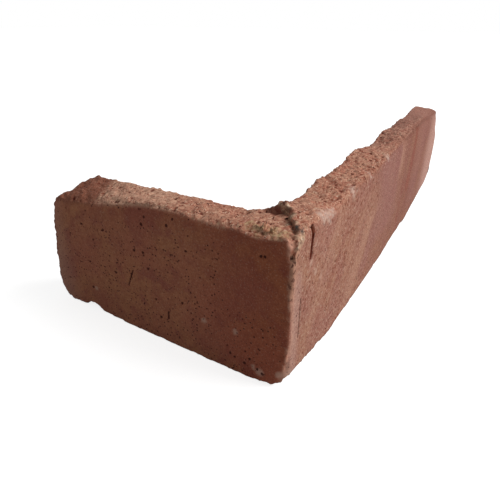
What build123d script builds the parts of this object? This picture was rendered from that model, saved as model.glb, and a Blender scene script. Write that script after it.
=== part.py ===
from build123d import *
import os

# Corner slip sawn from one hand-moulded brick, standing on its bed.
# Millimetres. The origin is the foot of the inner corner, where the two sawn
# backs meet the bed. +X runs along the long stretcher leg, +Y along the short
# header leg, +Z up. Both moulded faces look away from the inner corner.

# Overall sizes of the brick and of the slip sawn from it
stretcher_length = 254.0
header_length = 122.4
height = 62.0
stretcher_thickness = 16.5
header_thickness = 19.0

# How far the crest rises and falls from its nominal height, drawn as
# (share of the leg from the outer corner, share of the swing)
crest_swing = 6.0
stretcher_face_crest = [
    (0.02, 0.0), (0.085, 0.2), (0.15, -0.17), (0.23, 0.1), (0.36, -0.07),
    (0.45, 0.37), (0.56, 0.7), (0.66, 1.0), (0.82, 0.75), (0.955, 0.3),
]
stretcher_back_crest = [
    (0.04, 0.43), (0.09, 0.28), (0.155, -0.2), (0.205, 0.07), (0.29, -0.08), (0.38, 0.38), (0.44, 0.23),
    (0.515, -0.2), (0.585, 0.38), (0.66, 0.13), (0.73, 0.37), (0.775, 0.23), (0.86, 0.6), (0.945, 0.55),
]
header_face_crest = [
    (0.00, 0.37), (0.10, -0.27), (0.20, 0.07), (0.32, 0.23),
    (0.52, 0.1), (0.63, -0.4), (0.76, -1.0), (0.93, -1.2),
]
header_back_crest = [
    (0.08, 0.4), (0.145, 0.27), (0.20, -0.35), (0.28, -0.38),
    (0.45, -0.4), (0.62, -0.43), (0.76, -0.5), (0.88, -0.65),
]

# How far the foot of a moulded face is worn up between the outer corner and the start of the bed
foot_wear = 6.0
stretcher_foot = [(0.00, 1.0), (0.06, 0.57), (0.12, 0.17)]
stretcher_bed_start = 0.18
header_foot = [(0.00, 0.67), (0.05, 0.23)]
header_bed_start = 0.14

# The moulded ends of the two legs above the bed, as (share of the length, share of the height)
stretcher_bed_end = 0.70
stretcher_end = [(0.88, 0.09), (0.985, 0.24), (0.994, 0.45), (0.983, 0.76)]
stretcher_end_round = 6.0
header_bed_end = 0.90
header_end = [(0.980, 0.045), (0.998, 0.13), (0.982, 0.38)]
header_end_round = 3.0

# How stiffly the end faces stand up into the crest
end_pull = 0.4

# Clay that is ground off the bed to leave it flat
bed_trim = 0.4

# Worn arrises: round the moulded faces, and down the outer corner, which is worn most at its foot
stretcher_arris = 2.5
header_arris = 2.0
corner_arris = 2.0
corner_arris_at_foot = 9.0
corner_wear_height = 15.0

# The seam across the crest on the mitre: it stops short of the inner corner and runs down the outer one
seam_width = 2.6
seam_depth = 2.4
seam_stop = 4.0
seam_run_down = 24.0
seam_foot_width = 1.0

# Straw slot in the stretcher face, tapering down from the crest
slot_from_corner = 14.2
slot_top_width = 2.0
slot_foot_width = 0.8
slot_length = 11.0
slot_depth = 3.5
slot_corner_round = 0.27

# Furrow across the stretcher's crest
furrow_from_corner = 55.0
furrow_radius = 2.0
furrow_drop = 0.4
furrow_skew = 43.0
furrow_cutter_length = 50.0

# Nicks broken out of the foot of each moulded face
nick_radius = 7.0
header_nick_from_corner = 100.5
header_nick_height = 3.2
stretcher_nick_from_corner = 168.0
stretcher_nick_height = 2.4

# How far the cutters reach past what they cut
overrun = 12.0


def rises(points, length, base, swing):
    """Places along a leg, from shares of its length and shares of the swing over a base height."""
    return [(along * length, base + share * swing) for along, share in points]


def leg_outline(plane, length, wear, bed_start, bed_end, end, end_round, crest):
    """Outline of a leg seen square to its face, from behind the corner to its end."""
    worn_foot = [*rises(wear, length, 0, foot_wear), (bed_start * length, -bed_trim)]
    end_face = [(along * length, up * height) for along, up in end]
    crest_line = rises(crest, length, height, crest_swing)
    with BuildSketch(plane) as outline:
        with BuildLine():
            foot = Spline((-overrun, worn_foot[0][1]), *worn_foot, tangents=[(1, 0), (1, 0)])
            bed = Line(foot @ 1, (bed_end * length, -bed_trim))
            rise = Spline(
                bed @ 1, *end_face, crest_line[-1], tangents=[(1, 0), (0, 1)], tangent_scalars=[1, end_pull]
            )
            top = Spline(*reversed(crest_line), (-overrun, crest_line[0][1]))
            Line(top @ 1, foot @ 0)
        make_face()
        end_corner = outline.vertices().sort_by_distance((rise @ 1))[0]
        fillet(end_corner, radius=end_round)
    return outline.sketch


def along_x(y):
    """Plane square to the stretcher's faces, drawn from its outer corner."""
    return Plane(origin=(-header_thickness, y, 0), x_dir=(1, 0, 0), z_dir=(0, -1, 0))


def along_y(x):
    """Plane square to the header's faces, drawn from its outer corner."""
    return Plane(origin=(x, -stretcher_thickness, 0), x_dir=(0, 1, 0), z_dir=(1, 0, 0))


# The mitre runs from the inner corner to the outer corner; the stretcher lies on its +Z side
mitre = Plane(origin=(0, 0, 0), z_dir=(stretcher_thickness, -header_thickness, 0))

no_wear = [(0.00, -bed_trim / foot_wear)]
stretcher_ends = (stretcher_bed_start, stretcher_bed_end, stretcher_end, stretcher_end_round)
header_ends = (header_bed_start, header_bed_end, header_end, header_end_round)
stretcher_back = leg_outline(
    along_x(0), stretcher_length, no_wear, *stretcher_ends, stretcher_back_crest
)
stretcher_face = leg_outline(
    along_x(-stretcher_thickness),
    stretcher_length,
    stretcher_foot,
    *stretcher_ends,
    stretcher_face_crest,
)
header_back = leg_outline(along_y(0), header_length, no_wear, *header_ends, header_back_crest)
header_face = leg_outline(
    along_y(-header_thickness), header_length, header_foot, *header_ends, header_face_crest
)

with BuildPart() as stretcher_leg:
    loft([stretcher_back, stretcher_face], ruled=True)
    face_edges = stretcher_leg.faces().sort_by(Axis.Y)[0].edges()
    fillet(face_edges.sort_by(Axis.X)[1:], radius=stretcher_arris)
    split(bisect_by=mitre, keep=Keep.TOP)

with BuildPart() as header_leg:
    loft([header_back, header_face], ruled=True)
    face_edges = header_leg.faces().sort_by(Axis.X)[0].edges()
    fillet(face_edges.sort_by(Axis.Y)[1:], radius=header_arris)
    split(bisect_by=mitre, keep=Keep.BOTTOM)


def plan_quarter(level, arris):
    """Plan of the ground that the slip stands on, with the outer corner rounded."""
    reach_x = stretcher_length + overrun
    reach_y = header_length + overrun
    with BuildSketch(Plane.XY.offset(level)) as quarter:
        with Locations((-header_thickness, -stretcher_thickness)):
            Rectangle(reach_x, reach_y, align=(Align.MIN, Align.MIN))
        outer_corner = quarter.vertices().sort_by(Axis.X)[:2].sort_by(Axis.Y)[0]
        fillet(outer_corner, radius=arris)
    return quarter.sketch


# The bed is cut flat at the foot, and the outer corner is round from there to above the crest
with BuildPart() as bounds:
    loft([plan_quarter(0, corner_arris_at_foot), plan_quarter(corner_wear_height, corner_arris)])
    extrude(plan_quarter(corner_wear_height, corner_arris), amount=height)

# Across the mitre, looking from the outer corner to the inner corner
seam_plane = Plane(
    origin=(-header_thickness, -stretcher_thickness, height),
    x_dir=(stretcher_thickness, -header_thickness, 0),
    z_dir=(header_thickness, stretcher_thickness, 0),
)
seam_length = (header_thickness**2 + stretcher_thickness**2) ** 0.5

with BuildPart() as corner_tile:
    add(stretcher_leg.part)
    add(header_leg.part)
    add(bounds.part, mode=Mode.INTERSECT)

    # Seam: a round-bottomed groove that is open above
    with BuildSketch(seam_plane) as seam_section:
        with Locations((0, seam_width / 2 - seam_depth)):
            Circle(seam_width / 2)
            Rectangle(seam_width, overrun, align=(Align.CENTER, Align.MIN))
    extrude(amount=seam_length - seam_stop, mode=Mode.SUBTRACT)

    # The seam runs out down the outer corner
    with BuildSketch(Plane.XY.offset(height + overrun)) as run_head:
        with Locations((-header_thickness, -stretcher_thickness)):
            Circle(seam_width)
    with BuildSketch(Plane.XY.offset(height - seam_run_down)) as run_foot:
        with Locations((-header_thickness, -stretcher_thickness)):
            Circle(seam_foot_width)
    loft(mode=Mode.SUBTRACT)

    # Slot in the stretcher face
    with BuildSketch(along_x(-stretcher_thickness)) as slot:
        with BuildLine():
            Polyline(
                (slot_from_corner - slot_top_width / 2, height),
                (slot_from_corner - slot_foot_width / 2, height - slot_length),
                (slot_from_corner + slot_foot_width / 2, height - slot_length),
                (slot_from_corner + slot_top_width / 2, height),
                close=True,
            )
        make_face()
        fillet(slot.vertices(), radius=slot_corner_round)
    extrude(amount=-slot_depth, mode=Mode.SUBTRACT)

    # Furrow across the crest
    furrow_x = furrow_from_corner - header_thickness
    furrow_axis_height = height - furrow_drop + furrow_radius
    with Locations(
        Location((furrow_x, -stretcher_thickness / 2, furrow_axis_height), (90, -furrow_skew, 0))
    ):
        Cylinder(furrow_radius, furrow_cutter_length, mode=Mode.SUBTRACT)

    # Nicks in the foot of each moulded face
    header_nick_y = header_nick_from_corner - stretcher_thickness
    stretcher_nick_x = stretcher_nick_from_corner - header_thickness
    with Locations(
        (-header_thickness, header_nick_y, header_nick_height - nick_radius),
        (stretcher_nick_x, -stretcher_thickness, stretcher_nick_height - nick_radius),
    ):
        Sphere(nick_radius, mode=Mode.SUBTRACT)

corner_tile.part.label = "corner_tile"
os.makedirs("parts", exist_ok=True)
export_step(corner_tile.part, "parts/corner_tile.step")
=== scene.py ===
import functools
import itertools
import math

import bmesh
import bpy
import numpy as np
from mathutils import Matrix, Vector


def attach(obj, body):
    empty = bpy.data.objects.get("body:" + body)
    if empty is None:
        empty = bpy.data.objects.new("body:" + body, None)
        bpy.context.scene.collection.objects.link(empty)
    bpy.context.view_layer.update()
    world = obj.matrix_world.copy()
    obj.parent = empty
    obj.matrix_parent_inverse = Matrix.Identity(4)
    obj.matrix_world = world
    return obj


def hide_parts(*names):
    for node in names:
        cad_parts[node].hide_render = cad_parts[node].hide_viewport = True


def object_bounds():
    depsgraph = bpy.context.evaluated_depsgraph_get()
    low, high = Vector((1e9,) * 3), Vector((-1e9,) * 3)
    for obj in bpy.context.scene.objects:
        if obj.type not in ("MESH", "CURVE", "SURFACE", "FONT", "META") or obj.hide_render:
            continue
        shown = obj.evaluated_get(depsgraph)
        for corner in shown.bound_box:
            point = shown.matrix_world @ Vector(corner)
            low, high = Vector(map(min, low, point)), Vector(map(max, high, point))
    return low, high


# Corner slip of one hand-moulded brick, seen with its outer corner towards the camera.
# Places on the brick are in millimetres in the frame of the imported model: the origin is the foot
# of the inner corner, +X runs along the long stretcher leg, +Y along the short header leg.

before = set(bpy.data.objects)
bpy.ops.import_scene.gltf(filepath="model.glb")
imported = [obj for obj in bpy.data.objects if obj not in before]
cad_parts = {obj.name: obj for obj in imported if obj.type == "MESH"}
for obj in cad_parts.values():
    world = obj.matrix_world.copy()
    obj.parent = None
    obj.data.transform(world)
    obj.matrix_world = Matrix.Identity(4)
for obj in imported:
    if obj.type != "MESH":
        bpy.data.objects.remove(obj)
cad_low, cad_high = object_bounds()
MM = 0.001

# Driving sizes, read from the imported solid
header_face_x = cad_low.x / MM
stretcher_face_y = cad_low.y / MM
stretcher_end_x = cad_high.x / MM
header_end_y = cad_high.y / MM

# Mesh of the brick
VOXEL = 0.66
MOST_TRIANGLES = 190_000
SEED = 11

# Noise over arrays of places in mm

# Numbers that scatter the bits of a cell's place and of the seed
CELL_SCATTER = np.array([374761393, 668265263, 1440662683])
SEED_SCATTER = 1013904223
MIXING = [(13, 1274126177), (16, 2246822519)]
LAST_SHIFT = 15
WORD = 0xFFFFFFFF
FRACTION = 0xFFFFFF

# Brings layered noise back to a reach of about -1 to 1
LAYERED_GAIN = 1.4

# Radius of a pit in a cell that has none
NO_PIT = 1e-6


def hashed(cell, seed):
    """A repeatable random number from 0 to 1 for each lattice cell."""
    mixed = (cell @ CELL_SCATTER + seed * SEED_SCATTER) & WORD
    for shift, multiplier in MIXING:
        mixed = ((mixed ^ (mixed >> shift)) * multiplier) & WORD
    return ((mixed ^ (mixed >> LAST_SHIFT)) & FRACTION) / FRACTION


def noise(places, size, seed):
    """Smooth noise from -1 to 1, with features of the given size."""
    scaled = places / np.asarray(size, float)
    cell = np.floor(scaled).astype(np.int64)
    part = scaled - cell
    # Eased, so that no crease shows where two cells meet
    part = part**3 * (part * (part * 6 - 15) + 10)
    total = np.zeros(len(places))
    for corner in itertools.product((0, 1), repeat=3):
        weight = np.prod(np.where(np.array(corner), part, 1 - part), axis=1)
        total += weight * hashed(cell + np.array(corner), seed)
    return total * 2 - 1


def layered(places, size, seed, layers=3):
    """Noise with finer and weaker noise on top of it."""
    size = np.asarray(size, float)
    total = np.zeros(len(places))
    reach = 0
    for layer in range(layers):
        total += noise(places, size / 2**layer, seed + layer) / 2**layer
        reach += 1 / 2**layer
    return total / reach * LAYERED_GAIN


def pits(places, spacing, smallest, largest, share, seed):
    """Round pits scattered one to a cell: 1 at the middle of a pit and 0 outside it."""
    scaled = places / spacing
    cell = np.floor(scaled).astype(np.int64)
    depth = np.zeros(len(places))
    for neighbour in itertools.product((-1, 0, 1), repeat=3):
        near = cell + np.array(neighbour)
        middle = near + np.stack([hashed(near, seed + axis) for axis in range(3)], axis=1)
        # Small pits are far more common than large ones
        radius = smallest + (largest - smallest) * hashed(near, seed + 3) ** 3
        radius = np.where(hashed(near, seed + 4) < share, radius, NO_PIT)
        away = np.linalg.norm((scaled - middle) * spacing, axis=1) / radius
        depth = np.maximum(depth, np.clip(1 - away**2, 0, 1))
    return depth


def ramp(value, start, end):
    """Rises smoothly from 0 at start to 1 at end."""
    part = np.clip((value - start) / (end - start), 0, 1)
    return part * part * (3 - 2 * part)


def band(value, rise, fall):
    """Rises from 0 to 1 over the range rise, and falls back to 0 over the range fall."""
    return ramp(value, rise[0], rise[1]) * ramp(value, fall[1], fall[0])


def patchy(amount, breakup, start, end):
    """A patch with an uneven rim: its amount broken up by noise, and 0 wherever the amount is 0."""
    return ramp(amount + breakup, start, end) * ramp(amount, 0.0, 0.2)


# Lines and spots on the brick


def from_line(places, start, end):
    """Distance from the line between two points, and the share of the line where it is nearest."""
    start = np.asarray(start, float)
    run = np.asarray(end, float) - start
    along = np.clip((places - start) @ run / (run @ run), 0, 1)
    return np.linalg.norm(places - start - along[:, None] * run, axis=1), along


def near_line(places, start, end, start_width, end_width):
    """1 on the line from start to end and 0 beyond the half width, which tapers."""
    away, along = from_line(places, start, end)
    width = start_width + (end_width - start_width) * along
    return np.clip(1 - (away / width) ** 2, 0, 1)


def near_spot(places, middle, radius):
    """1 at the middle of a spot and 0 beyond its radius."""
    away = np.linalg.norm(places - np.asarray(middle, float), axis=1) / radius
    return np.clip(1 - away**2, 0, 1)


def header_place(along, height):
    """A place on the header face, given along its leg and above the bed."""
    return (header_face_x, along, height)


def stretcher_place(along, height):
    """A place on the stretcher face, given along its leg and above the bed."""
    return (along, stretcher_face_y, height)


def spotted(places, face_place, spots):
    """Spots on a face, each given as place along the leg, height and radius."""
    shown = np.zeros(len(places))
    for along, height, radius in spots:
        shown = np.maximum(shown, near_spot(places, face_place(along, height), radius))
    return shown


# The mitre between the legs, from the inner corner to the outer one
mitre_length = math.hypot(header_face_x, stretcher_face_y)
mitre_x = header_face_x / mitre_length
mitre_y = stretcher_face_y / mitre_length


def on_mitre(along, side, height):
    """A place given along the mitre from the inner corner, and to its stretcher side."""
    return (along * mitre_x - side * mitre_y, along * mitre_y + side * mitre_x, height)


# Arrays of a mesh


def arrays(mesh):
    """Places in mm and unit normals of a mesh's vertices."""
    places = np.zeros(len(mesh.vertices) * 3, np.float32)
    normals = np.zeros(len(mesh.vertices) * 3, np.float32)
    mesh.vertices.foreach_get("co", places)
    mesh.vertex_normals.foreach_get("vector", normals)
    return places.reshape(-1, 3).astype(float) / MM, normals.reshape(-1, 3).astype(float)


def set_places(mesh, places):
    """Moves a mesh's vertices to places in mm."""
    mesh.vertices.foreach_set("co", (places * MM).astype(np.float32).ravel())
    mesh.update()


def edge_ends(mesh):
    """The first and the second vertex of each edge."""
    ends = np.zeros(len(mesh.edges) * 2, np.int64)
    mesh.edges.foreach_get("vertices", ends)
    return ends.reshape(-1, 2).T


def smoothed(values, mesh, rounds):
    """Each vertex's values averaged with its neighbours', a number of times."""
    first, second = edge_ends(mesh)
    size = len(values)
    count = 1 + np.bincount(first, minlength=size) + np.bincount(second, minlength=size)
    for _ in range(rounds):
        total = values.copy()
        for axis in range(3):
            total[:, axis] += np.bincount(first, values[second, axis], size)
            total[:, axis] += np.bincount(second, values[first, axis], size)
        values = total / count[:, None]
    return values


def keep_largest(mesh):
    """Deletes all parts of a mesh but its largest, such as crumbs that touch nothing."""
    first, second = edge_ends(mesh)
    label = np.arange(len(mesh.vertices))
    while (label[first] != label[second]).any():
        lowest = np.minimum(label[first], label[second])
        np.minimum.at(label, first, lowest)
        np.minimum.at(label, second, lowest)
        label = label[label]
    largest = np.bincount(label).argmax()
    parts = bmesh.new()
    parts.from_mesh(mesh)
    parts.verts.ensure_lookup_table()
    loose = [parts.verts[index] for index in np.flatnonzero(label != largest)]
    bmesh.ops.delete(parts, geom=loose, context="VERTS")
    parts.to_mesh(mesh)
    parts.free()


def apply_modifiers(thing):
    """Gives an object the mesh that its modifiers make, and removes them."""
    graph = bpy.context.evaluated_depsgraph_get()
    made = bpy.data.meshes.new_from_object(thing.evaluated_get(graph))
    thing.modifiers.clear()
    thing.vertex_groups.clear()
    thing.data = made


# Crumbs in the seam and on the crest, as paths of (place, spread, smallest, largest)

# Mortar left beside the seam
seam_path = [
    (on_mitre(-1.5, 2.4, 63.6), 0.5, 0.6, 1.1),
    (on_mitre(2.5, 3.2, 63.4), 0.7, 0.7, 1.4),
    (on_mitre(7.5, 3.1, 62.4), 0.8, 0.6, 1.3),
    (on_mitre(12.0, 3.0, 61.6), 0.8, 0.6, 1.3),
    (on_mitre(16.5, 3.0, 61.0), 0.8, 0.5, 1.2),
    (on_mitre(21.0, 2.4, 60.6), 0.7, 0.4, 1.0),
    ((-16.9, -15.9, 56.5), 0.5, 0.3, 0.8),
    ((-17.8, -15.5, 50.0), 0.3, 0.3, 0.6),
    ((-17.9, -15.4, 42.0), 0.25, 0.2, 0.45),
]
# Clay that fills the seam beside the mortar
clay_path = [
    (on_mitre(1.0, 0.0, 61.0), 0.5, 0.8, 1.6),
    (on_mitre(8.0, 0.0, 60.6), 0.5, 0.9, 1.6),
    (on_mitre(16.0, 0.0, 60.2), 0.5, 0.9, 1.6),
    (on_mitre(21.5, 0.0, 59.6), 0.4, 0.8, 1.4),
]
# Gritty tan crumbs on the header's crest beside the corner
tan_path = [((-13.5, 2.0, 61.0), 1.5, 0.3, 0.7), ((-15.5, -9.5, 61.4), 1.5, 0.3, 0.8)]
# Dark nubs that stick to the stretcher's end
nub_places = [(229.4, -13.7, 55.6), (228.6, -15.2, 17.5)]
# A stone in the mortar
stone_place = on_mitre(16.6, 3.3, 61.8)
stone_radius = 0.9

# Each heap of crumbs: path, count, seed; a heap on one spot has a path from it to itself
heaps = [
    (seam_path, 360, SEED),
    (clay_path, 160, SEED + 2),
    (tan_path, 110, SEED + 3),
    *[([(nub, 0.3, 1.6, 2.3)] * 2, 7, SEED + 4) for nub in nub_places],
    ([(stone_place, 0.2, stone_radius, stone_radius)] * 2, 2, SEED + 1),
]

# The least and the most that a crumb is squeezed or stretched on each axis, and its roughness
CRUMB_SQUEEZE = (0.6, 1.3)
CRUMB_ROUGHNESS = 0.08


def add_crumbs(mesh, path, count, seed):
    """Adds small irregular lumps along a path."""
    draw = np.random.default_rng(seed)
    for _ in range(count):
        step = draw.uniform(0, len(path) - 1)
        first = int(step)
        part = step - first
        start, start_spread, start_small, start_large = path[first]
        end, end_spread, end_small, end_large = path[first + 1]
        spread = start_spread + (end_spread - start_spread) * part
        small = start_small + (end_small - start_small) * part
        large = start_large + (end_large - start_large) * part
        place = Vector(start).lerp(Vector(end), part) + Vector(draw.normal(0, 1, 3)) * spread
        radius = small + (large - small) * draw.uniform() ** 2
        squeeze = Vector(draw.uniform(*CRUMB_SQUEEZE, 3)) * radius * MM
        turn = Matrix.Rotation(draw.uniform(0, math.tau), 4, Vector(draw.normal(0, 1, 3)).normalized())
        where = Matrix.Translation(place * MM) @ turn @ Matrix.Diagonal((*squeeze, 1))
        crumb = bmesh.ops.create_icosphere(mesh, subdivisions=2, radius=1.0, matrix=where)
        for vertex in crumb["verts"]:
            vertex.co += Vector(draw.normal(0, CRUMB_ROUGHNESS, 3)) * radius * MM


# The brick's mesh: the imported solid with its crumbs, in even small faces

slip = bpy.data.objects.new("brick_slip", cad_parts["corner_tile"].data.copy())
bpy.context.scene.collection.objects.link(slip)
shell = bmesh.new()
shell.from_mesh(slip.data)
for crumb_path, crumb_count, crumb_seed in heaps:
    add_crumbs(shell, crumb_path, crumb_count, crumb_seed)
shell.to_mesh(slip.data)
shell.free()

remesh = slip.modifiers.new("even mesh", "REMESH")
remesh.mode = "VOXEL"
remesh.voxel_size = VOXEL * MM
remesh.adaptivity = 0
apply_modifiers(slip)
keep_largest(slip.data)

# Worn arrises

# The slot of a burnt-out straw in the stretcher face
slot_line = (stretcher_place(-4.8, 62.0), stretcher_place(-4.8, 50.0))

# Rounds of smoothing: all over, along the fronts of the crest, and where they are softest
SLIGHT_ROUNDS = 8
HEAVY_ROUNDS = 80
SOFTEST_ROUNDS = 120


def wear_arrises(mesh):
    """Rounds the shape a little all over, and most along the fronts of the crest."""
    places, _ = arrays(mesh)
    x, y, z = places.T
    near_crest = ramp(z, 44, 54)
    header_front = near_crest * ramp(x, -6, -12) * ramp(y, -2, 10)
    stretcher_front = near_crest * ramp(y, -4, -9) * ramp(x, 2, 14)
    far_end = near_crest * ramp(x, 165, 205)

    # How worn each place is: the crumbs, the slot, the backs, the foot and the header's end stay crisper
    wear = ramp(layered(places, 16.0, seed=301), -0.6, 0.6) * 0.6 + 0.4
    wear = np.maximum(wear, 0.85 * header_front)
    wear = np.maximum(wear, 0.9 * far_end)
    seam_pairs = itertools.pairwise(seam_path)
    seam_from = np.min([from_line(places, start[0], end[0])[0] for start, end in seam_pairs], axis=0)
    slot_from, _ = from_line(places, *slot_line)
    tan_from, _ = from_line(places, tan_path[0][0], tan_path[1][0])
    wear *= ramp(seam_from, 2.0, 4.5) * ramp(slot_from, 2.0, 4.0)
    wear *= 0.1 + 0.9 * np.maximum(ramp(x, -5.0, -10.0), ramp(y, -4.0, -8.5))
    wear *= 0.25 + 0.75 * ramp(tan_from, 3.0, 6.0)
    wear *= 1 - 0.7 * ramp(z, 14, 6)
    wear *= 1 - 0.5 * ramp(y, 86, 98)

    uneven = ramp(layered(places, 22.0, seed=302, layers=2), -0.8, 0.4)
    heavy = np.clip(header_front + stretcher_front * (0.4 + 0.6 * uneven) + far_end, 0, 1)
    softest = np.clip(header_front * (0.5 + 0.5 * uneven) + 0.6 * far_end, 0, 1)
    slightly = smoothed(places, mesh, SLIGHT_ROUNDS)
    heavily = smoothed(slightly, mesh, HEAVY_ROUNDS)
    softly = smoothed(heavily, mesh, SOFTEST_ROUNDS)
    rounded = slightly + (heavily - slightly) * heavy[:, None] + (softly - heavily) * softest[:, None]
    set_places(mesh, places + (rounded - places) * wear[:, None])


# What lies less than the margin in front of the two back planes counts as behind, but the last
# stretch of each leg keeps its small faces
BACK_MARGIN = 1.5
KEPT_STRETCHER_END = 12
KEPT_HEADER_END = 8
# A back ends where its normal turns up this far, and the bed is where it points down this far
TURNED_UP = 0.35
TURNED_DOWN = -0.8


def thin_hidden(thing):
    """Leaves fewer faces on the sawn backs and the bed than on the moulded faces."""
    places, normals = arrays(thing.data)
    behind = (places[:, 0] > -BACK_MARGIN) & (places[:, 1] > -BACK_MARGIN)
    hidden = behind & (normals[:, 2] < TURNED_UP) | (normals[:, 2] < TURNED_DOWN)
    hidden &= places[:, 0] < stretcher_end_x - KEPT_STRETCHER_END
    hidden &= places[:, 1] < header_end_y - KEPT_HEADER_END
    group = thing.vertex_groups.new(name="hidden")
    group.add(np.flatnonzero(hidden).tolist(), 1.0, "REPLACE")
    thin = thing.modifiers.new("fewer faces behind", "DECIMATE")
    thin.ratio = min(1.0, MOST_TRIANGLES / (2 * len(thing.data.polygons)))
    thin.vertex_group = "hidden"
    thin.vertex_group_factor = 1.0
    apply_modifiers(thing)


wear_arrises(slip.data)
thin_hidden(slip)

# Zones of the surface, from 0 to 1

# The zones of the sawn backs reach this far past the back planes and stay as far from the ends,
# and they reach this far past the inner corner
BACK_REACH = 3
INNER_REACH = 1.0
# How far a normal points along an axis where a zone starts, and where it is full
MOULDED_TURN = (0.55, 0.85)
SAWN_TURN = (0.6, 0.85)
CREST_TURN = (0.35, 0.75)
NORMAL_ROUNDS = 4

places, sharp_normals = arrays(slip.data)
normals = smoothed(sharp_normals, slip.data, NORMAL_ROUNDS)
normals /= np.linalg.norm(normals, axis=1)[:, None]
x, y, z = places.T

facing_header = np.clip(-normals[:, 0], 0, 1)
facing_stretcher = np.clip(-normals[:, 1], 0, 1)
facing_down = np.clip(-normals[:, 2], 0, 1)
facing_up = np.clip(normals[:, 2], 0, 1)

on_stretcher = ramp(-normals[:, 1], *MOULDED_TURN) * ramp(x, header_face_x - 1, header_face_x + 4)
on_header = ramp(-normals[:, 0], *MOULDED_TURN) * (x < 4)
on_crest = ramp(normals[:, 2], *CREST_TURN)
moulded = np.clip(on_stretcher + on_header, 0, 1)
stretcher_back = ramp(normals[:, 1], *SAWN_TURN) * (y < BACK_REACH)
stretcher_back *= (x > -INNER_REACH) & (x < stretcher_end_x - BACK_REACH)
header_back = ramp(normals[:, 0], *SAWN_TURN) * (x < BACK_REACH)
header_back *= (y > -INNER_REACH) & (y < header_end_y - BACK_REACH)
sawn = np.clip(stretcher_back + header_back, 0, 1)
rough = np.clip(1 - moulded - sawn, 0, 1)

# Relief, in mm along the normal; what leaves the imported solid's box is cut back at the end

# Depths
CREST_PIT_DEPTH = 0.9
LARGE_PIT_DEPTH = 0.8
FURROW_DEPTH = 0.2
GROOVE_DEPTH = 1.3
PORE_DEPTH = 0.7
LARGE_PORE_DEPTH = 0.6
SLIT_DEPTH = 0.6
STRAW_DEPTH = 0.5
SAW_DEPTH = 0.16
SAW_WAVE = 0.05
SAW_PIT_DEPTH = 0.8
# Length of the zone in which an end of the slip has its own shape
END_ZONE = 12

# The moulded faces are a little wavy
relief = moulded * (-0.12 + 0.12 * layered(places, 38, seed=5, layers=2))
relief += moulded * (0.06 * layered(places, 5.0, seed=21))

# The header's end stands a little fuller above its middle
on_header_end = ramp(normals[:, 1], 0.3, 0.8) * (y > header_end_y - END_ZONE)
relief += on_header_end * 1.2 * band(z, (16, 28), (50, 56))

# The stretcher's end leans back under the crest, which stands up a little there
on_stretcher_end = ramp(normals[:, 0], 0.4, 0.8) * (x > stretcher_end_x - END_ZONE)
relief -= on_stretcher_end * 1.3 * ramp(z, 50, 58)
relief += on_crest * 0.9 * ramp(x, 205, 220) * ramp(y, -5, -10)

# The outer corner's arris stays crisp above its worn foot
corner_edge = 2 * facing_header * facing_stretcher * (x < -10) * (y < -8)
relief += 0.8 * corner_edge * ramp(z, 6, 24)

# The feet of the moulded faces are fuller than their rounded arris
relief += 0.9 * 2 * facing_down * facing_stretcher * band(x, (5, 25), (100, 130))
relief += 0.5 * 2 * facing_down * facing_header * band(y, (-8, 4), (60, 75))

# The crest's back edges stand up here and there
relief += on_crest * 0.6 * band(y, (80, 86), (94, 101))
for start, end in [((33.0, -1.0, 64.0), (60.0, -1.0, 64.0)), ((-1.0, 7.0, 60.0), (-1.0, 14.0, 59.5))]:
    relief += on_crest * 0.8 * near_line(places, start, end, 4.0, 4.0)

# Drag marks of the mould lean towards the corner near it and stand upright at the far end
MID_HEIGHT = 30.0
lean = 1.6 * band(x, (-10, 20), (50, 110))
drag_x = x - lean * (z - MID_HEIGHT) + 2.0 * layered(places, 24, seed=35, layers=2)
dragged = np.stack([drag_x, y, z], axis=1)
relief += on_stretcher * 0.05 * layered(dragged, (3.0, 40.0, 40.0), seed=31)
relief += on_stretcher * (0.18 * layered(dragged, (16.0, 60.0, 60.0), seed=36, layers=2) - 0.08)

# The crest is torn and gritty, but smooth towards the stretcher's end
torn = rough * (1 - 0.85 * ramp(x, 150, 205))
crumbly = layered(places, 5.5, seed=41, layers=4)
relief += torn * (0.5 * crumbly + 0.42 * layered(places, 1.7, seed=51, layers=2))
crest_pits = pits(places, 2.1, smallest=0.35, largest=1.15, share=0.7, seed=61) * ramp(x, 205, 150)
large_pits = pits(places, 8.0, smallest=0.8, largest=2.6, share=0.5, seed=71) * ramp(x, 190, 150)
relief -= on_crest * (CREST_PIT_DEPTH * crest_pits + LARGE_PIT_DEPTH * large_pits)

# Ripples across the stretcher's crest beyond the furrow
RIPPLE_SPACING = 2.6
across = (x * 0.70 - y * 0.71 + 1.2 * layered(places, 9, seed=72, layers=2)) / RIPPLE_SPACING
relief += on_crest * band(x, (36, 46), (80, 110)) * 0.12 * np.sin(across * math.tau)
furrow = near_line(places, (41.5, -2.0, 62.5), (28.5, -15.0, 62.5), 2.2, 1.6)
relief -= on_crest * FURROW_DEPTH * furrow

# Seam: a groove beside the mortar, and a step where the header's crest is broken down at its inner end
STEP_LEVEL = 61.2
GROOVE_SIDE = 1.9
GROOVE_HALF_WIDTH = 0.95
upward = normals[:, 2] > 0.2
along_seam = x * mitre_x + y * mitre_y
groove_wander = 0.4 * layered(places, 4.0, seed=341, layers=2)
from_groove = np.abs(-x * mitre_y + y * mitre_x - GROOVE_SIDE - groove_wander)
groove = ramp(from_groove, GROOVE_HALF_WIDTH, 0.15) * band(along_seam, (2, 6), (17, 21)) * upward
relief -= GROOVE_DEPTH * groove
step = band(x, (-12, -6), (-1.9, -0.6)) * band(y, (-9, -5.5), (3, 7)) * upward
relief -= step * np.clip(z - STEP_LEVEL - 0.3 * crumbly, 0, None)

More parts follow.
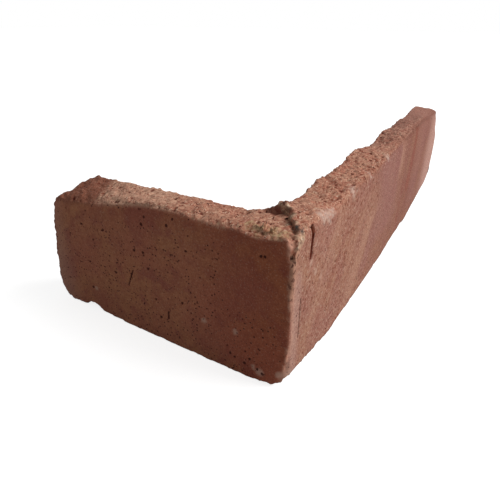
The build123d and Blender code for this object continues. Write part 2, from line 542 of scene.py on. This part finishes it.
# Arrises between the crest or foot and the moulded faces are chipped here and there
edge = np.clip(4 * moulded * (1 - moulded), 0, 1)
chips = ramp(layered(places, 6.0, seed=81), 0.05, 0.65)
broken = ramp(z, 50, 56) * band(x, (0, 20), (110, 150))
relief -= edge * chips * (0.3 + 0.3 * ramp(z, 30, 10) + 0.4 * broken)

# The outer corner is scuffed from top to foot
corner_from = np.hypot(x - header_face_x, y - stretcher_face_y)
scuff = ramp(corner_from, 5.5, 1.5) * ramp(layered(places, (5.0, 5.0, 9.0), seed=311), -0.5, 0.4)
relief -= scuff * (0.12 + 0.2 * layered(places, 2.2, seed=321))

# Pores in the moulded faces, few of them on the header's smooth top beside the corner
pores = pits(places, 4.0, smallest=0.25, largest=0.8, share=0.3, seed=101)
pores *= 1 - 0.9 * on_header * ramp(y, 16, 4) * ramp(z, 22, 36)
relief -= moulded * PORE_DEPTH * pores

# The header face's largest pores: place along the leg, height, radius
header_pores = [
    (58.6, 56.6, 0.8), (46.5, 52.8, 1.1), (34.2, 55.2, 1.0), (38.1, 61.3, 1.0), (44.9, 56.1, 0.9),
    (46.6, 58.7, 0.8), (31.5, 58.2, 0.9), (52.1, 40.2, 0.9), (47.3, 40.6, 1.0), (45.6, 33.7, 0.9),
    (64.7, 26.1, 0.9), (80.5, 26.6, 0.8), (25.8, 47.3, 0.8), (68.1, 45.0, 0.8), (80.7, 44.7, 0.4),
    (75.4, 38.7, 0.6), (81.8, 12.8, 1.0), (43.2, 20.2, 0.8), (29.5, 23.3, 0.9), (-4.9, 54.2, 0.8),
    (59.5, 57.0, 0.8), (47.6, 58.4, 0.9), (39.0, 61.0, 0.9), (69.1, 44.5, 0.4), (81.6, 44.5, 0.4),
    (90.0, 38.1, 0.4), (77.7, 51.2, 0.4), (72.0, 59.5, 0.8), (-6.4, 54.6, 0.8), (7.5, 8.5, 1.0),
    (5.6, 7.4, 0.8), (1.2, 6.5, 1.0), (-1.0, 9.5, 0.8), (-6.6, 4.9, 1.2), (-4.4, 6.2, 0.8),
]
hollow_spots = [(along, height, radius * 0.55 + 0.1) for along, height, radius in header_pores]
named_pores = spotted(places, header_place, hollow_spots)
relief -= LARGE_PORE_DEPTH * named_pores

# Slits in the header face: upper end and lower end as (along the leg, height), and half width
header_slits = [((54.4, 30.1), (58.0, 22.0), 0.3), ((36.9, 16.6), (37.5, 12.4), 0.4)]
slits = near_line(places, stretcher_place(-11.0, 37.2), stretcher_place(-10.8, 21.0), 0.4, 0.3)
for upper_end, lower_end, width in header_slits:
    slit = near_line(places, header_place(*upper_end), header_place(*lower_end), width, width * 0.7)
    slits = np.maximum(slits, slit)
straw = near_line(places, *slot_line, 1.2, 1.0)
slits = np.maximum(slits, straw)
relief -= SLIT_DEPTH * slits + STRAW_DEPTH * straw

# Saw marks on the backs: shallow arcs of a round blade, whose middle lies far below the bed
BLADE_RADIUS = 180.0
BLADE_TOP = 20
STRETCHER_BLADE_X = 60
HEADER_BLADE_Y = 40
ARC_SPACING = 3.1
blade_drop = BLADE_RADIUS - BLADE_TOP
arc = np.where(
    normals[:, 1] > normals[:, 0],
    np.hypot(x - STRETCHER_BLADE_X, z + blade_drop),
    np.hypot(y - HEADER_BLADE_Y, z + blade_drop),
)
saw_waves = SAW_WAVE * np.sin(arc * math.tau / ARC_SPACING)
saw_waves += 0.10 * layered(places, 14, seed=111, layers=2)
saw_pits = pits(places, 7.5, smallest=0.3, largest=1.6, share=0.4, seed=121)
relief += sawn * (-SAW_DEPTH + saw_waves - SAW_PIT_DEPTH * saw_pits)

moved = places + normals * relief[:, None]
set_places(slip.data, np.clip(moved, np.array(cad_low) / MM, np.array(cad_high) / MM))
slip.data.shade_smooth()

# Masks for the material, from 0 to 1 at each vertex

# How deep each place lies in its pit, for the painted shade in it, and where the dark nubs lie
nubs = np.max([near_spot(places, nub, 3.6) for nub in nub_places], axis=0)
hollow_shade_and_dark_nubs = np.clip(moulded * 1.2 * pores + 1.3 * named_pores + 1.5 * slits + 1.2 * nubs, 0, 1)
# Painted shade in the crest's pits and furrow
crest_hollow_shade = np.clip(on_crest * (1.2 * crest_pits + 0.45 * large_pits + 0.4 * furrow), 0, 1)

# Mortar near the crumbs' path
mortar = np.zeros(len(places))
for (start, start_spread, *_), (end, end_spread, *_) in itertools.pairwise(seam_path):
    widths = (0.9 + 2.4 * start_spread, 0.9 + 2.4 * end_spread)
    mortar = np.maximum(mortar, near_line(places, start, end, *widths))
mortar = patchy(mortar, 0.45 * layered(places, 2.0, seed=91, layers=2), 0.35, 0.6)
mortar *= 0.7 + 0.3 * ramp(z, 50, 56)

# Salt on the front of the stretcher's crest: place along the leg, height, radius
salt_spots = [(6, 63.5, 8), (12, 61, 6.5), (37, 62.5, 7), (61, 62.5, 6), (86, 64, 5)]
salt_breakup = 0.5 * layered(places, 3.0, seed=131)
salt_breakup += 0.3 * layered(dragged, (1.6, 9.0, 9.0), seed=132, layers=2)

# Pale rubbed spots, and a scrape at the foot of the corner
pale_on_header = [(5.3, 19.6, 1.6), (19.5, 19.0, 1.6), (79.6, 12.8, 1.4), (-5.5, 5.0, 2.4), (-2.5, 6.5, 1.4)]
pale_on_stretcher = [(0.5, 42.0, 1.6), (6.0, 37.0, 2.0), (-4.2, 48.6, 1.6), (-1.5, 54.0, 1.4)]
pale = np.maximum(
    spotted(places, header_place, pale_on_header),
    spotted(places, stretcher_place, pale_on_stretcher),
)
pale = np.maximum(pale, near_line(places, (-18.0, -13.6, 7.0), (-15.6, -15.2, 7.6), 2.4, 2.4))

# Redder places on the header face
ruddy_spots = [(75, 8, 12), (49, 57, 10), (41, 60, 7), (2, 40, 16), (15, 10, 12), (95, 20, 8)]
ruddy = spotted(places, header_place, ruddy_spots)

tan = near_line(places, (-14.0, 1.5, 61.0), (-15.5, -9.5, 62.0), 4.5, 4.5)
stone = near_spot(places, stone_place, stone_radius + 1.5)
far_crest_from = y - 0.3 * x + 4 * layered(places, 12.0, seed=371, layers=2)
# Painted shade along the stretcher's crest arris, growing away from the corner
far_arris_shade = 0.5 * ramp(x, 10, 50) + 0.5 * ramp(x, 80, 150)

# Streaks that the mould left on the stretcher face: place along the leg at mid height, lean,
# half width, lowest, highest, strength
streaks = {
    "red": [
        (147.5, 0.03, 5.0, 26, 66, 0.8), (134, 0.1, 4.0, 8, 34, 0.4),
        (20, 0.9, 3.0, 14, 46, 0.45), (31, 0.9, 2.0, 20, 50, 0.35), (108, 0.1, 2.0, 34, 60, 0.3),
    ],
    "purple": [
        (97, 0.15, 25.0, 18, 70, 0.75), (84, 0.3, 3.0, 54, 68, 0.8), (172, 0.0, 16.0, 8, 66, 0.45),
        (78, 0.7, 7.0, 8, 30, 0.5),
    ],
    "light": [
        (119, 0.05, 4.0, 44, 64, 0.55), (63, 0.75, 8.0, 2, 40, 0.75),
        (5, 0.6, 3.0, 18, 60, 0.5), (45, 0.8, 3.0, 22, 56, 0.4),
    ],
}
streak_bend = 2.5 * layered(places, 20.0, seed=401, layers=2)


def streaked(bands):
    """Where a set of streaks lies on the stretcher face."""
    shown = np.zeros(len(places))
    for along, band_lean, half_width, lowest, highest, strength in bands:
        away = np.abs(x - along - band_lean * (z - MID_HEIGHT) + streak_bend)
        faded = band(z, (lowest - 5, lowest + 5), (highest - 4, highest + 4))
        shown = np.maximum(shown, strength * faded * ramp(away, half_width * 1.3, half_width * 0.5))
    return on_stretcher * shown


masks = {
    "stretcher": on_stretcher,
    "header": on_header,
    "crest": on_crest,
    "sawn": sawn,
    # Painted shade in the pores and slits, and the dark nubs
    "hollow_shade_and_dark_nubs": hollow_shade_and_dark_nubs,
    "crest_hollow_shade": crest_hollow_shade,
    "mortar": mortar,
    "salt": patchy(spotted(places, stretcher_place, salt_spots), salt_breakup, 0.5, 1.2),
    "pale": patchy(pale, 0.4 * layered(places, 1.6, seed=361, layers=2), 0.1, 0.8),
    # Painted shade in the straw's slot
    "straw": ramp(straw, 0.0, 0.5),
    "scuff": scuff * ramp(-normals[:, 1], 0.25, 0.6),
    "far_arris_shade": 2 * facing_stretcher * facing_up * far_arris_shade,
    # Painted shade on the step face beside the seam, at the inner corner
    "step_shade": band(x, (-3.2, -1.8), (1.0, 2.2)) * band(y, (-7.5, -6.0), (2.0, 5.0)) * (z > 56),
    "ruddy": 0.55 * patchy(ruddy, 0.3 * layered(places, 7.0, seed=381), 0.0, 1.2),
    "stone": patchy(stone, 0.5 * layered(places, 2.2, seed=351), 0.2, 0.5),
    "seam_line": groove,
    "tan": patchy(tan, 0.7 * layered(places, 3.0, seed=331), 0.4, 0.9),
    # Painted shade on the front of the crest towards the header's end
    "far_crest_shade": ramp(far_crest_from, 74, 80) * ramp(z, 46, 52),
    **{kind: streaked(bands) for kind, bands in streaks.items()},
}
for name, values in masks.items():
    kept = slip.data.attributes.new(name, "FLOAT", "POINT")
    kept.data.foreach_set("value", values.astype(np.float32))
kept = slip.data.attributes.new("dragged", "FLOAT_VECTOR", "POINT")
kept.data.foreach_set("vector", (dragged * MM).astype(np.float32).ravel())

# Colours as they look on a screen, from 0 to 255; those whose names end with tint are multiplied in
PAINTS = {
    "body": (160, 102, 84),
    "body_shade": (150, 88, 72),
    "body_mottle": (172, 118, 96),
    "body_far_tint": (214, 196, 192),
    "salmon": (172, 124, 100),
    "salmon_shade": (160, 108, 94),
    "salmon_mottle": (178, 128, 106),
    "pink_drag": (184, 144, 128),
    "red_drag": (146, 84, 74),
    "purple_drag": (134, 94, 94),
    "dark_dots": (130, 72, 54),
    "pale_dots": (206, 168, 146),
    "pale_corner": (188, 148, 134),
    "stretcher_far_tint": (204, 186, 182),
    "purple_streak": (156, 108, 104),
    "light_streak": (188, 142, 118),
    "red_streak": (136, 68, 54),
    "stretcher_end": (196, 154, 141),
    "header_red": (168, 104, 80),
    "header_brown": (172, 114, 82),
    "header_dots": (140, 82, 62),
    "header_mottle": (148, 86, 70),
    "header_corner_tint": (226, 192, 182),
    "header_top": (150, 84, 62),
    "ruddy": (144, 78, 66),
    "header_end_rim_light": (180, 138, 124),
    "sand": (188, 138, 114),
    "sand_shade": (176, 116, 94),
    "sand_grains": (200, 158, 130),
    "beige_sand": (208, 166, 140),
    "far_crest_shade": (136, 85, 66),
    "far_sand": (160, 113, 100),
    "cut": (168, 108, 84),
    "cut_shade": (158, 98, 78),
    "cut_stones": (96, 62, 54),
    "grain_tint": (132, 92, 80),
    "specks": (214, 180, 160),
    "dark_grit": (118, 52, 36),
    "pale_grit": (220, 184, 160),
    "pale_spots": (200, 166, 148),
    # Painted shade in the crest's pits, the pores and the straw's slot
    "crest_hollows_painted_shade": (96, 38, 26),
    "pores": (66, 26, 18),
    "straw": (112, 46, 32),
    "far_arris_shade_tint": (206, 196, 194),
    "scuffs": (196, 148, 126),
    "step_shade": (98, 52, 42),
    "tan": (186, 156, 120),
    "tan_shade": (128, 88, 60),
    "seam_line": (98, 58, 40),
    "salt": (204, 180, 166),
    "mortar": (192, 154, 128),
    "mortar_shade": (162, 130, 106),
    "mortar_light": (210, 184, 158),
    "mortar_low": (172, 122, 100),
    "mortar_holes": (74, 42, 34),
    "stone": (70, 64, 58),
}


def paint(name):
    """A paint as the linear colour that shaders take."""
    screen = [value / 255 for value in PAINTS[name]]
    return (*[part / 12.92 if part <= 0.04 else ((part + 0.055) / 1.055) ** 2.4 for part in screen], 1.0)


class Graph:
    """Short names for making the nodes of a material or world."""

    def __init__(self, owner):
        owner.use_nodes = True
        self.tree = owner.node_tree
        self.tree.nodes.clear()

    def add(self, kind, inputs=None, **settings):
        """A new node, with its settings, and with its inputs linked or set."""
        made = self.tree.nodes.new(kind)
        for key, value in settings.items():
            setattr(made, key, value)
        for key, value in (inputs or {}).items():
            if isinstance(value, bpy.types.NodeSocket):
                self.tree.links.new(value, made.inputs[key])
            else:
                made.inputs[key].default_value = value
        return made

    @functools.cached_property
    def place(self):
        """Object coordinates, in metres."""
        return self.add("ShaderNodeTexCoord").outputs["Object"]

    @functools.cached_property
    def axes(self):
        """The object coordinates one by one, as X, Y and Z."""
        return self.add("ShaderNodeSeparateXYZ", {0: self.place}).outputs

    def scaled(self, size, place=None):
        """Object coordinates, or another place, over a size in mm or over one size for each axis."""
        sizes = size if isinstance(size, tuple) else (size,) * 3
        inputs = {0: place or self.place, 1: tuple(1 / (one * MM) for one in sizes)}
        return self.add("ShaderNodeVectorMath", inputs, operation="MULTIPLY").outputs[0]

    def noise(self, size, detail=3.0, roughness=0.55, place=None):
        """Noise from 0 to 1, with features of the given size."""
        inputs = {"Vector": self.scaled(size, place), "Scale": 1.0, "Detail": detail, "Roughness": roughness}
        return self.add("ShaderNodeTexNoise", inputs).outputs[0]

    def cells(self, size):
        """Distance to the nearest scattered point, and that point's random number."""
        made = self.add("ShaderNodeTexVoronoi", {"Vector": self.scaled(size), "Scale": 1.0})
        pick = self.add("ShaderNodeSeparateColor", {0: made.outputs["Color"]})
        return made.outputs["Distance"], pick.outputs[0]

    def math(self, operation, first, second=0.0):
        """One operation on one or two values."""
        return self.add("ShaderNodeMath", {0: first, 1: second}, operation=operation).outputs[0]

    def times(self, product, *factors):
        """All the values multiplied."""
        for factor in factors:
            product = self.math("MULTIPLY", product, factor)
        return product

    def spread(self, value, start, end, low=0.0, high=1.0):
        """A value from start to end mapped smoothly to low to high."""
        inputs = {0: value, 1: start, 2: end, 3: low, 4: high}
        return self.add("ShaderNodeMapRange", inputs, interpolation_type="SMOOTHSTEP").outputs[0]

    def where(self, mask, off, on):
        """One value where a mask is 0 and another where it is 1."""
        return self.spread(mask, 0.0, 1.0, off, on)

    def reach(self, axis, start, end, low=0.0, high=1.0):
        """The place along an axis, from start to end in mm, mapped smoothly to low to high."""
        return self.spread(self.axes[axis], start * MM, end * MM, low, high)

    def attribute(self, name):
        """A mask kept on the mesh."""
        return self.add("ShaderNodeAttribute", attribute_name=name).outputs["Fac"]

    def mix(self, amount, under, over, blend="MIX"):
        """One colour over another."""
        inputs = {0: amount, 6: under, 7: over}
        return self.add("ShaderNodeMix", inputs, data_type="RGBA", blend_type=blend).outputs[2]

    def coat(self, under, name, amount):
        """A paint over a colour, as much as the amount says."""
        blend = "MULTIPLY" if name.endswith("_tint") else "MIX"
        return self.mix(amount, under, paint(name), blend)

    def seen_directly(self):
        """1 for what the camera and reflections see, 0 for the light that falls on the object."""
        ray = self.add("ShaderNodeLightPath")
        return self.math("MAXIMUM", ray.outputs["Is Camera Ray"], ray.outputs["Is Glossy Ray"])


# Fired clay

clay_material = bpy.data.materials.new("fired_clay")
clay = Graph(clay_material)
header = clay.attribute("header")
crest = clay.attribute("crest")
is_sawn = clay.attribute("sawn")
drag_place = clay.add("ShaderNodeAttribute", attribute_name="dragged").outputs["Vector"]
cloud = clay.noise(26.0, 2.0)
mottle = clay.noise(7.0, 4.0)
grain = clay.noise(0.9, 3.0, 0.7)
speck = clay.noise(0.35, 2.0, 0.7)


def streak(width, length, start, end, most=1.0):
    """Where a set of long soft streaks lies on the stretcher face."""
    return clay.spread(clay.noise((width, 60.0, length), 4.0, 0.6, drag_place), start, end, 0.0, most)


def body():
    """The clay itself, mottled."""
    colour = clay.coat(paint("body"), "body_shade", clay.spread(cloud, 0.35, 0.65))
    colour = clay.coat(colour, "body_mottle", clay.spread(mottle, 0.4, 0.7))
    return clay.coat(colour, "body_far_tint", clay.reach("X", 60, 170, 0.0, 0.9))


def stretcher_face():
    """Salmon, with drag streaks of pink, purple and red."""
    face = clay.coat(paint("salmon"), "salmon_shade", clay.spread(clay.noise(16.0, 3.0), 0.35, 0.65))
    face = clay.coat(face, "salmon_mottle", clay.spread(clay.noise(8.0, 5.0), 0.4, 0.7, 0.0, 0.6))

    # Long soft streaks, stronger away from the corner
    further = clay.reach("X", 50, 120, 0.25, 1.0)
    for name, width, length, full, most in [
        ("pink_drag", 7.0, 40.0, 0.85, 0.4),
        ("red_drag", 11.0, 60.0, 0.8, 0.5),
        ("purple_drag", 4.0, 16.0, 0.85, 0.4),
    ]:
        face = clay.coat(face, name, clay.times(streak(width, length, 0.5, full, most), further))

    # Dots, stronger near the corner and most crowded a little beyond it
    near = clay.reach("X", 150, 60, 0.15, 0.85)
    crowded = clay.times(clay.reach("X", 14, 30), clay.reach("X", 100, 64), 0.035)
    dark_dots = clay.spread(clay.math("ADD", clay.noise(1.4, 2.0), crowded), 0.56, 0.65)
    face = clay.coat(face, "dark_dots", clay.times(dark_dots, near))
    face = clay.coat(face, "pale_dots", clay.times(clay.spread(clay.noise(1.8, 3.0), 0.53, 0.7), near))

    # Paler beside the corner, and darker away from it
    beside_corner = clay.times(clay.reach("X", -9, -14, 0.0, 0.65), clay.reach("Z", 54, 44))
    face = clay.coat(face, "pale_corner", beside_corner)
    face = clay.coat(face, "stretcher_far_tint", clay.reach("X", 10, 150, 0.0, 0.8))

    # The streaks that are placed one by one
    thready = streak(4.0, 22.0, 0.1, 0.5)
    face = clay.coat(face, "purple_streak", clay.times(clay.attribute("purple"), 0.55))
    face = clay.coat(face, "light_streak", clay.times(clay.attribute("light"), thready, 0.75))
    face = clay.coat(face, "red_streak", clay.times(clay.attribute("red"), thready, 0.9))
    return clay.coat(face, "stretcher_end", clay.reach("X", 182, 216, 0.0, 0.8))


def header_face():
    """Redder than the stretcher face, with faint brown clouds, and a painted rim light towards its end."""
    face = clay.coat(paint("header_red"), "header_brown", clay.spread(cloud, 0.35, 0.65))
    face = clay.coat(face, "header_dots", clay.spread(clay.noise(2.2, 3.0), 0.42, 0.66, 0.0, 0.4))
    face = clay.coat(face, "header_mottle", clay.spread(mottle, 0.45, 0.75))
    face = clay.coat(face, "header_corner_tint", clay.reach("Y", 30, -8, 0.0, 0.8))
    face = clay.coat(face, "header_top", clay.reach("Z", 50, 62, 0.0, 0.55))
    face = clay.coat(face, "ruddy", clay.attribute("ruddy"))
    # Painted rim light on the header face towards its end
    return clay.coat(face, "header_end_rim_light", clay.reach("Y", 88, 104, 0.0, 0.55))


def torn_crest():
    """Pale and sandy, with painted shade on its front towards the header's end, and darker along the
    stretcher.
    """
    top = clay.coat(paint("sand"), "sand_shade", clay.spread(mottle, 0.35, 0.65))
    top = clay.coat(top, "sand_grains", clay.spread(clay.noise(2.2, 4.0), 0.5, 0.75))
    top = clay.coat(top, "beige_sand", clay.reach("Y", 20, 50, 0.0, 0.55))
    # Painted shade on the front of the crest towards the header's end
    top = clay.coat(top, "far_crest_shade", clay.attribute("far_crest_shade"))
    return clay.coat(top, "far_sand", clay.reach("X", 50, 190, 0.0, 0.85))


def sawn_back():
    """Even, with stone grains."""
    cut = clay.coat(paint("cut"), "cut_shade", clay.spread(mottle, 0.35, 0.7))
    stone_away, stone_pick = clay.cells(5.0)
    stones = clay.times(clay.spread(stone_away, 0.22, 0.12), clay.spread(stone_pick, 0.75, 0.8))
    return clay.coat(cut, "cut_stones", stones)


def grainy(colour):
    """The colour with grain, specks and grit: strongest on the crest, weakest on the header face."""
    grained = clay.times(clay.spread(grain, 0.35, 0.65), clay.where(header, 0.42, 0.24))
    colour = clay.coat(colour, "grain_tint", grained)
    colour = clay.coat(colour, "specks", clay.spread(speck, 0.55, 0.75, 0.0, 0.2))
    gritty = clay.times(
        clay.math("ADD", clay.where(header, 0.34, 0.14), clay.where(crest, 0.0, 0.42)),
        clay.where(is_sawn, 1.0, 0.4),
        clay.where(clay.attribute("far_crest_shade"), 1.0, 0.3),
        clay.reach("X", 130, 200, 1.0, 0.4),
    )
    dark_grit = clay.times(clay.spread(clay.noise(1.0, 2.0), 0.53, 0.66), gritty)
    pale_grit = clay.times(clay.spread(clay.noise(0.75, 2.0), 0.56, 0.7), gritty)
    return clay.coat(clay.coat(colour, "dark_grit", dark_grit), "pale_grit", pale_grit)


def fine_pores():
    """Pores that are too small for the mesh, fewer on the header's smooth top beside the corner."""
    pore_away, pore_pick = clay.cells(1.25)
    crowding = clay.spread(clay.noise(18.0, 2.0), 0.35, 0.6, 0.17, 0.31)
    pore_size = clay.times(clay.spread(pore_pick, 0.4, 1.0), crowding)
    fine = clay.spread(clay.math("SUBTRACT", pore_size, pore_away), -0.02, 0.04)
    smooth_corner = clay.times(clay.reach("Y", 20, 4), clay.reach("Z", 22, 36), header)
    return clay.times(fine, clay.where(smooth_corner, 1.0, 0.25))


# Pores are measured flattened along X, so that one on the rounded edge of the crest is painted too
ACROSS = 0.3

CLAY_ROUGHNESS = 0.88
CLAY_SPECULAR = 0.15
BUMP_STRENGTH = 0.7
BUMP_DEPTH = 0.6 * MM


def pore_shade(fine):
    """Painted shade in all pores, with the header's large ones and slits drawn sharply over the mesh's
    hollows, which also hold the dark nubs.
    """
    dark = clay.math("MAXIMUM", clay.times(fine, clay.where(header, 0.6, 0.9)), clay.attribute("hollow_shade_and_dark_nubs"))
    ragged = clay.times(clay.math("SUBTRACT", clay.noise(0.9, 2.0), 0.5), 0.8 * MM)
    flat_inputs = {0: clay.place, 1: (ACROSS, 1.0, 1.0)}
    flattened = clay.add("ShaderNodeVectorMath", flat_inputs, operation="MULTIPLY").outputs[0]
    for along, height, radius in header_pores:
        pore_inputs = {0: flattened, 1: (header_face_x * MM * ACROSS, along * MM, height * MM)}
        away = clay.add("ShaderNodeVectorMath", pore_inputs, operation="DISTANCE").outputs["Value"]
        away = clay.math("ADD", away, ragged)
        shown = clay.spread(away, (0.25 + 0.5 * radius) * MM, (0.1 + 0.35 * radius) * MM)
        dark = clay.math("MAXIMUM", dark, shown)
    for (upper_along, upper), (lower_along, lower), width in header_slits:
        slope = (lower_along - upper_along) / (lower - upper)
        line = clay.math("ADD", clay.times(clay.axes["Z"], slope), (upper_along - slope * upper) * MM)
        away = clay.math("ABSOLUTE", clay.math("SUBTRACT", clay.axes["Y"], line))
        away = clay.math("ADD", away, ragged)
        shown = clay.times(
            clay.spread(away, (width + 0.1) * MM, (width - 0.15) * MM),
            clay.reach("Z", lower - 0.5, lower + 0.5),
            clay.reach("Z", upper + 0.5, upper - 0.5),
            header,
        )
        dark = clay.math("MAXIMUM", dark, shown)
    return dark


def marked(colour, fine):
    """The colour with its spots, scuffs, tan crumbs, seam and salt, and painted shade in its pores, pits and
    slot, along the far arris and on the step beside the seam.
    """
    colour = clay.coat(colour, "pale_spots", clay.times(clay.attribute("pale"), 0.5))
    # Painted shade in the crest's pits and furrow
    crest_hollows_painted_shade = clay.spread(clay.attribute("crest_hollow_shade"), 0.1, 0.7, 0.0, 0.85)
    colour = clay.coat(colour, "crest_hollows_painted_shade", crest_hollows_painted_shade)
    # Painted shade in the pores and slits, with the dark nubs
    colour = clay.coat(colour, "pores", clay.spread(pore_shade(fine), 0.1, 0.7, 0.0, 0.95))
    # Painted shade in the straw's slot
    colour = clay.coat(colour, "straw", clay.attribute("straw"))
    # Painted shade along the stretcher's crest arris, away from the corner
    colour = clay.coat(colour, "far_arris_shade_tint", clay.attribute("far_arris_shade"))
    uneven = clay.spread(clay.noise(2.0, 4.0), 0.35, 0.65, 0.15, 0.8)
    colour = clay.coat(colour, "scuffs", clay.times(clay.attribute("scuff"), uneven))
    # Painted shade on the step face beside the seam
    colour = clay.coat(colour, "step_shade", clay.times(clay.attribute("step_shade"), 0.75))
    tanned = clay.times(clay.attribute("tan"), clay.spread(clay.noise(1.6, 4.0), 0.4, 0.6, 0.2, 0.85))
    tan_grains = clay.coat(paint("tan"), "tan_shade", clay.spread(clay.noise(1.3, 2.0), 0.45, 0.6))
    colour = clay.mix(tanned, colour, tan_grains)
    colour = clay.coat(colour, "seam_line", clay.times(clay.attribute("seam_line"), 0.75))
    salty = clay.times(clay.attribute("salt"), clay.spread(grain, 0.3, 0.6, 0.15, 0.6))
    return clay.coat(colour, "salt", salty)


def mortar_crumbs():
    """Mortar with light grains, redder and full of holes where it runs down the corner."""
    crumbs = clay.coat(paint("mortar"), "mortar_shade", clay.spread(clay.noise(2.8, 3.0), 0.4, 0.6))
    crumbs = clay.coat(crumbs, "mortar_light", clay.spread(clay.noise(1.9, 3.0), 0.56, 0.66))
    crumbs = clay.coat(crumbs, "mortar_low", clay.reach("Z", 61.0, 57.0, 0.0, 0.8))
    holes = clay.times(clay.spread(clay.noise(1.5, 3.0), 0.5, 0.57), clay.reach("Z", 60.0, 56.0, 0.5, 0.9))
    return clay.coat(crumbs, "mortar_holes", holes)


def fine_bump(fine):
    """Grit finer than the mesh, strongest on the crest, and the fine pores."""
    height = clay.times(clay.noise(0.5, 3.0, 0.7), clay.where(crest, 0.10, 0.5))
    height = clay.math("ADD", height, clay.times(clay.noise(1.6, 3.0), clay.where(crest, 0.15, 0.6)))
    height = clay.math("SUBTRACT", height, clay.times(fine, 0.7))
    inputs = {"Height": height, "Strength": BUMP_STRENGTH, "Distance": BUMP_DEPTH}
    return clay.add("ShaderNodeBump", inputs).outputs[0]


colour = clay.mix(clay.attribute("stretcher"), body(), stretcher_face())
colour = clay.mix(header, colour, header_face())
colour = clay.mix(crest, colour, torn_crest())
colour = clay.mix(is_sawn, colour, sawn_back())
fine = fine_pores()
colour = marked(grainy(colour), fine)
colour = clay.mix(clay.attribute("mortar"), colour, mortar_crumbs())
colour = clay.coat(colour, "stone", clay.attribute("stone"))
surface_inputs = {
    "Base Color": colour,
    "Roughness": CLAY_ROUGHNESS,
    "Normal": fine_bump(fine),
    "Specular IOR Level": CLAY_SPECULAR,
}
surface = clay.add("ShaderNodeBsdfPrincipled", surface_inputs)
clay.add("ShaderNodeOutputMaterial", {"Surface": surface.outputs[0]})
slip.data.materials.clear()
slip.data.materials.append(clay_material)

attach(slip, "root")
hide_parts("corner_tile")

# Pale floor that takes the object's shadow

WHITE = (1, 1, 1, 1)
FLOOR_REACH = 6.0
FLOOR_GREY = (0.45, 0.45, 0.45, 1)
# The floor's own glow rises outwards from its level in the middle, between two distances
GLOW_START = 0.3
GLOW_FULL = 0.8
GLOW_MIDDLE = 0.82
GLOW_OUTSIDE = 1.0

floor_mesh = bpy.data.meshes.new("floor")
floor_turns = [(-1, -1), (1, -1), (1, 1), (-1, 1)]
floor_corners = [(turn_x * FLOOR_REACH, turn_y * FLOOR_REACH, 0.0) for turn_x, turn_y in floor_turns]
floor_mesh.from_pydata(floor_corners, [], [(0, 1, 2, 3)])
floor = bpy.data.objects.new("floor", floor_mesh)
bpy.context.scene.collection.objects.link(floor)
floor_material = bpy.data.materials.new("pale_floor")
pale_floor = Graph(floor_material)
from_middle = pale_floor.add("ShaderNodeVectorMath", {0: pale_floor.place}, operation="LENGTH")
glow = pale_floor.spread(from_middle.outputs["Value"], GLOW_START, GLOW_FULL, GLOW_MIDDLE, GLOW_OUTSIDE)
shown_glow = pale_floor.times(pale_floor.seen_directly(), glow)
shine = pale_floor.add("ShaderNodeEmission", {"Color": WHITE, "Strength": shown_glow})
matte = pale_floor.add("ShaderNodeBsdfDiffuse", {"Color": FLOOR_GREY})
both = pale_floor.add("ShaderNodeAddShader", {0: shine.outputs[0], 1: matte.outputs[0]})
pale_floor.add("ShaderNodeOutputMaterial", {"Surface": both.outputs[0]})
floor_mesh.materials.append(floor_material)

# Soft key light

KEY_DIRECTION = Vector((0.32, -0.64, 0.70)).normalized()
KEY_DISTANCE = 1.0
KEY_LEVEL = 1.0
KEY_SIZE = 0.55
key_data = bpy.data.lights.new("key", "AREA")
key_data.size = KEY_SIZE
key_data.energy = KEY_LEVEL * (math.pi * KEY_DISTANCE) ** 2
key = bpy.data.objects.new("key", key_data)
key.location = KEY_DIRECTION * KEY_DISTANCE
key.rotation_mode = "QUATERNION"
key.rotation_quaternion = KEY_DIRECTION.to_track_quat("Z", "Y")
bpy.context.scene.collection.objects.link(key)

# World: white to the camera, and a weak fill light on the object

FILL_LEVEL = 0.27
world = bpy.data.worlds.new("studio")
bpy.context.scene.world = world
sky = Graph(world)
sky_level = sky.where(sky.seen_directly(), FILL_LEVEL, 1.0)
background = sky.add("ShaderNodeBackground", {"Color": WHITE, "Strength": sky_level})
sky.add("ShaderNodeOutputWorld", {"Surface": background.outputs[0]})

# Camera of the photograph

CAMERA_PLACE = (-120.49, -61.40, 119.71)
CAMERA_AZIMUTH = -59.25
CAMERA_ELEVATION = 28.50
CAMERA_ROLL = 0.44
CAMERA_FOCAL_PIXELS = 422.6
IMAGE_PIXELS = 500
SENSOR = 36.0
NEAREST_SEEN = 0.01
FURTHEST_SEEN = 100.0

camera_data = bpy.data.cameras.new("camera")
camera_data.sensor_width = SENSOR
camera_data.lens = CAMERA_FOCAL_PIXELS * SENSOR / IMAGE_PIXELS
camera_data.clip_start = NEAREST_SEEN
camera_data.clip_end = FURTHEST_SEEN
camera = bpy.data.objects.new("camera", camera_data)
bpy.context.scene.collection.objects.link(camera)
camera.matrix_world = (
    Matrix.Translation(Vector(CAMERA_PLACE) * MM)
    @ Matrix.Rotation(math.radians(CAMERA_AZIMUTH), 4, "Z")
    @ Matrix.Rotation(math.radians(90 - CAMERA_ELEVATION), 4, "X")
    @ Matrix.Rotation(math.radians(CAMERA_ROLL), 4, "Z")
)
bpy.context.scene.camera = camera
bpy.context.scene.view_settings.view_transform = "Standard"
